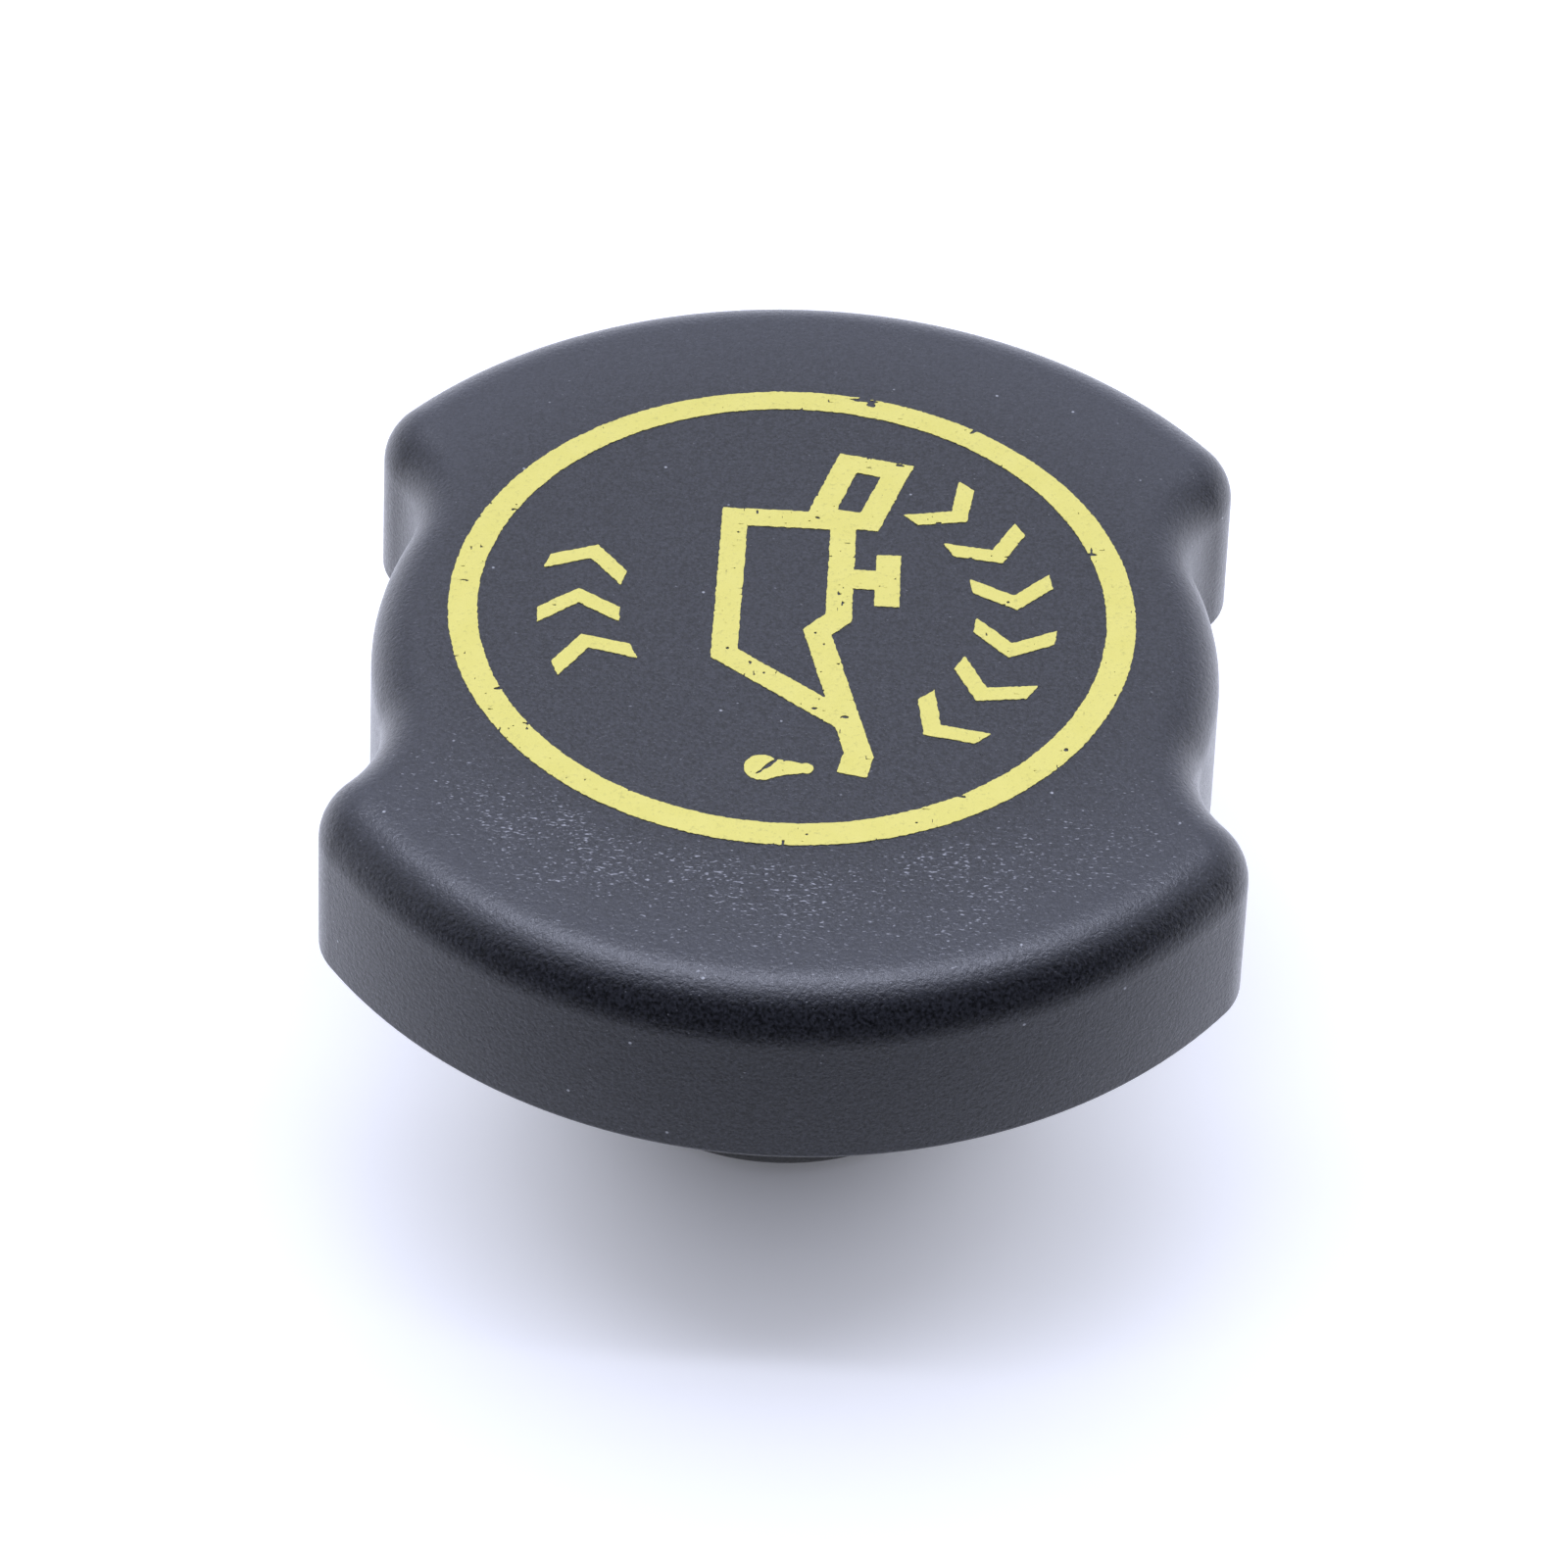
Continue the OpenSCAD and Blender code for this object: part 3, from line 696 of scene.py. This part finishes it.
def white_floor():
    """Matte white board. The camera sees it glow, weakly near the stem and more with the distance from it, so
    that it fades into the backdrop; the weak glow near the object is a painted shadow added to the object's own
    shadow. Reflections see it lifted at the sides and at the back, as under a white backdrop, and dimmer far in
    front, where the room is dark."""
    material, tree, place = new_material("white_board")
    ray = node(tree, "ShaderNodeLightPath").outputs
    along = node(tree, "ShaderNodeSeparateXYZ", {"Vector": place}).outputs["Y"]

    far = node(tree, "ShaderNodeMapRange", {
        "Value": along, "From Min": -50 * MM, "From Max": -170 * MM}).outputs["Result"]
    dim = node(tree, "ShaderNodeMath", {0: far, 1: ray["Is Glossy Ray"]}, operation="MULTIPLY").outputs["Value"]
    tone = node(tree, "ShaderNodeMix", {"Factor": dim, "A": colour("#EEEEEE"), "B": colour("#303030")},
                data_type="RGBA").outputs["Result"]
    matte = node(tree, "ShaderNodeBsdfDiffuse", {"Color": tone}).outputs["BSDF"]

    # The painted shadow in the camera's glow is narrower across the view than a circle
    narrow = node(tree, "ShaderNodeMapping", {"Vector": place, "Scale": (1.7, 1.0, 1.0)}).outputs["Vector"]
    away = node(tree, "ShaderNodeVectorMath", {0: narrow}, operation="LENGTH").outputs["Value"]
    # Glow that the camera sees, weak near the object and strong far off: a painted shadow on the board
    painted_shadow_glow = node(tree, "ShaderNodeMapRange", {
        "Value": away, "From Min": 4 * MM, "From Max": 40 * MM, "To Min": 0.06, "To Max": 0.42},
        interpolation_type="SMOOTHSTEP").outputs["Result"]
    for_gloss = node(tree, "ShaderNodeMapRange", {
        "Value": along, "From Min": -70 * MM, "From Max": 30 * MM, "To Max": 0.85},
        interpolation_type="SMOOTHSTEP").outputs["Result"]
    seen = node(tree, "ShaderNodeMath", {0: painted_shadow_glow, 1: ray["Is Camera Ray"]},
                operation="MULTIPLY").outputs["Value"]
    lift = node(tree, "ShaderNodeMath", {0: for_gloss, 1: ray["Is Glossy Ray"], 2: seen},
                operation="MULTIPLY_ADD").outputs["Value"]
    glow = node(tree, "ShaderNodeEmission", {"Color": colour("#F1F3FF"), "Strength": lift}).outputs["Emission"]
    shader = node(tree, "ShaderNodeAddShader", {0: matte, 1: glow}).outputs["Shader"]
    node(tree, "ShaderNodeOutputMaterial", {"Surface": shader})
    return material


# Stage

# Cool white of the tent, and the level that brings its green to the values given
DAYLIGHT = "#E5EAFF"
LIGHT_LEVEL = 1.22

# The board's radius, and the radius within which it is one face
FLOOR_REACH = 3000.0
FLOOR_MIDDLE = 600.0
FLOOR_THICKNESS = 2.0

# The strip lamps' size, and their distance from the head, in millimetres
STRIP_LENGTH = 500.0
STRIP_WIDTH = 30.0
STRIP_DISTANCE = 450.0


def floor():
    """Round board, much wider than the view."""
    return revolve("floor", np.array([
        (FLOOR_MIDDLE, -FLOOR_THICKNESS), (FLOOR_REACH, -FLOOR_THICKNESS), (FLOOR_REACH, 0),
        (FLOOR_MIDDLE, 0)]), columns=64, closed_rows=False)


def studio_world():
    """Light tent round the object: a soft bright ceiling overhead and a little behind it, even white sides, a
    glow low at the back, and an opening to a dark room on the side of the camera."""
    world = bpy.data.worlds.new("light_tent")
    bpy.context.scene.world = world
    world.use_nodes = True
    tree = world.node_tree
    tree.nodes.clear()
    direction = node(tree, "ShaderNodeTexCoord").outputs["Generated"]

    # The opening's middle lies a little to the right of the camera
    across = node(tree, "ShaderNodeVectorMath", {0: direction, 1: (-0.16, 0.987, 0.0)},
                  operation="DOT_PRODUCT").outputs["Value"]
    sides = node(tree, "ShaderNodeMapRange", {
        "Value": across, "From Min": -0.37, "From Max": -0.1, "To Min": 0.02, "To Max": 0.79},
        interpolation_type="SMOOTHSTEP").outputs["Result"]

    # Cosine of the angle from the ceiling's middle
    towards = node(tree, "ShaderNodeVectorMath", {0: direction, 1: (-0.117, 0.202, 0.972)},
                   operation="DOT_PRODUCT").outputs["Value"]
    ceiling = node(tree, "ShaderNodeMapRange", {
        "Value": towards, "From Min": 0.81, "From Max": 0.995, "To Max": 1.5},
        interpolation_type="SMOOTHSTEP").outputs["Result"]

    parts = node(tree, "ShaderNodeSeparateXYZ", {"Vector": direction}).outputs
    low = node(tree, "ShaderNodeMapRange", {
        "Value": parts["Z"], "From Min": 0.1, "From Max": 0.65, "To Min": 0.42, "To Max": -0.08},
        interpolation_type="SMOOTHSTEP").outputs["Result"]
    back = node(tree, "ShaderNodeMapRange", {"Value": parts["Y"], "From Min": -0.1, "From Max": 0.4},
                interpolation_type="SMOOTHSTEP").outputs["Result"]

    horizon = node(tree, "ShaderNodeMath", {0: low, 1: back, 2: sides},
                   operation="MULTIPLY_ADD").outputs["Value"]
    light = node(tree, "ShaderNodeMath", {0: horizon, 1: ceiling}, operation="ADD").outputs["Value"]
    level = node(tree, "ShaderNodeMath", {0: light, 1: LIGHT_LEVEL}, operation="MULTIPLY").outputs["Value"]
    tent = node(tree, "ShaderNodeBackground", {"Color": colour(DAYLIGHT), "Strength": level})
    white = node(tree, "ShaderNodeBackground", {"Color": colour("#FFFFFF"), "Strength": 1.0})
    seen = node(tree, "ShaderNodeLightPath").outputs["Is Camera Ray"]
    shader = node(tree, "ShaderNodeMixShader", {
        0: seen, 1: tent.outputs["Background"], 2: white.outputs["Background"]}).outputs["Shader"]
    node(tree, "ShaderNodeOutputWorld", {"Surface": shader})


def strip_lamp(name, lean, radiance):
    """Long narrow lamp along X over the object, aimed at the head. Its lean from the vertical is in degrees,
    towards the back, and its power is pi times its radiance times its area."""
    lamp_data = bpy.data.lights.new(name, "AREA")
    lamp_data.shape = "RECTANGLE"
    lamp_data.size = STRIP_LENGTH * MM
    lamp_data.size_y = STRIP_WIDTH * MM
    lamp_data.energy = np.pi * radiance * lamp_data.size * lamp_data.size_y
    lamp_data.color = colour(DAYLIGHT)[:3]
    lamp = bpy.data.objects.new(name, lamp_data)
    head = Matrix.Translation((0, 0, TOP * MM))
    tilt = Matrix.Rotation(-np.radians(lean), 4, "X")
    lamp.matrix_world = head @ tilt @ Matrix.Translation((0, 0, STRIP_DISTANCE * MM))
    bpy.context.scene.collection.objects.link(lamp)
    return lamp


def camera():
    """Camera at the photograph's angle, from its bearing, height angle, roll and distance to the point it aims
    at."""
    aim = Vector((-0.33, -7.79, 31.04)) * MM
    bearing, height, roll = np.radians([0.97, 43.31, 2.29])
    distance = 301.1 * MM
    back = Vector((np.sin(bearing) * np.cos(height), -np.cos(bearing) * np.cos(height), np.sin(height)))
    level = Vector((np.cos(bearing), np.sin(bearing), 0))
    upright = back.cross(level)
    right = np.cos(roll) * level + np.sin(roll) * upright
    up = np.cos(roll) * upright - np.sin(roll) * level
    lens = bpy.data.cameras.new("camera")
    lens.sensor_width = 36
    lens.lens = 101.4
    lens.clip_start = 0.01
    stand = bpy.data.objects.new("camera", lens)
    turn = Matrix((right, up, back)).transposed().to_4x4()
    stand.matrix_world = Matrix.Translation(aim + back * distance) @ turn
    bpy.context.scene.collection.objects.link(stand)
    bpy.context.scene.camera = stand


def dress(piece, material, body, slot, *nodes):
    """Gives a piece its material and its body, and hides the nodes that it stands for. The slot is not used."""
    piece.data.materials.clear()
    piece.data.materials.append(material)
    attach(piece, body)
    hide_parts(*nodes)


dress(cap_moulding(), charcoal_nylon(), "root", "black_plastic", "cap_body")
dress(sealing_ring(), black_nitrile(), "root", "black_rubber", "sealing_ring")
ink = yellow_ink()
dress(printed("ring_print", "printed_ring", ring_distance), ink, "root", "yellow_print", "printed_ring")
for mark in ("oil_can", "arrows"):
    cad_node = "printed_" + mark
    dress(printed(mark + "_print", cad_node, marks_distance(cad_node)), ink, "root", "yellow_print", cad_node)

board = floor()
board.data.materials.append(white_floor())
studio_world()
# One strip is seen in the moulding's gloss alone, and the other one only throws the shadow on the board
gloss_strip = strip_lamp("strip_in_gloss", lean=13, radiance=18.0)
gloss_strip.visible_diffuse = False
shadow_strip = strip_lamp("strip_for_shadow", lean=-14, radiance=16.0)
shadow_strip.visible_glossy = False
camera()
bpy.context.scene.view_settings.view_transform = "Standard"
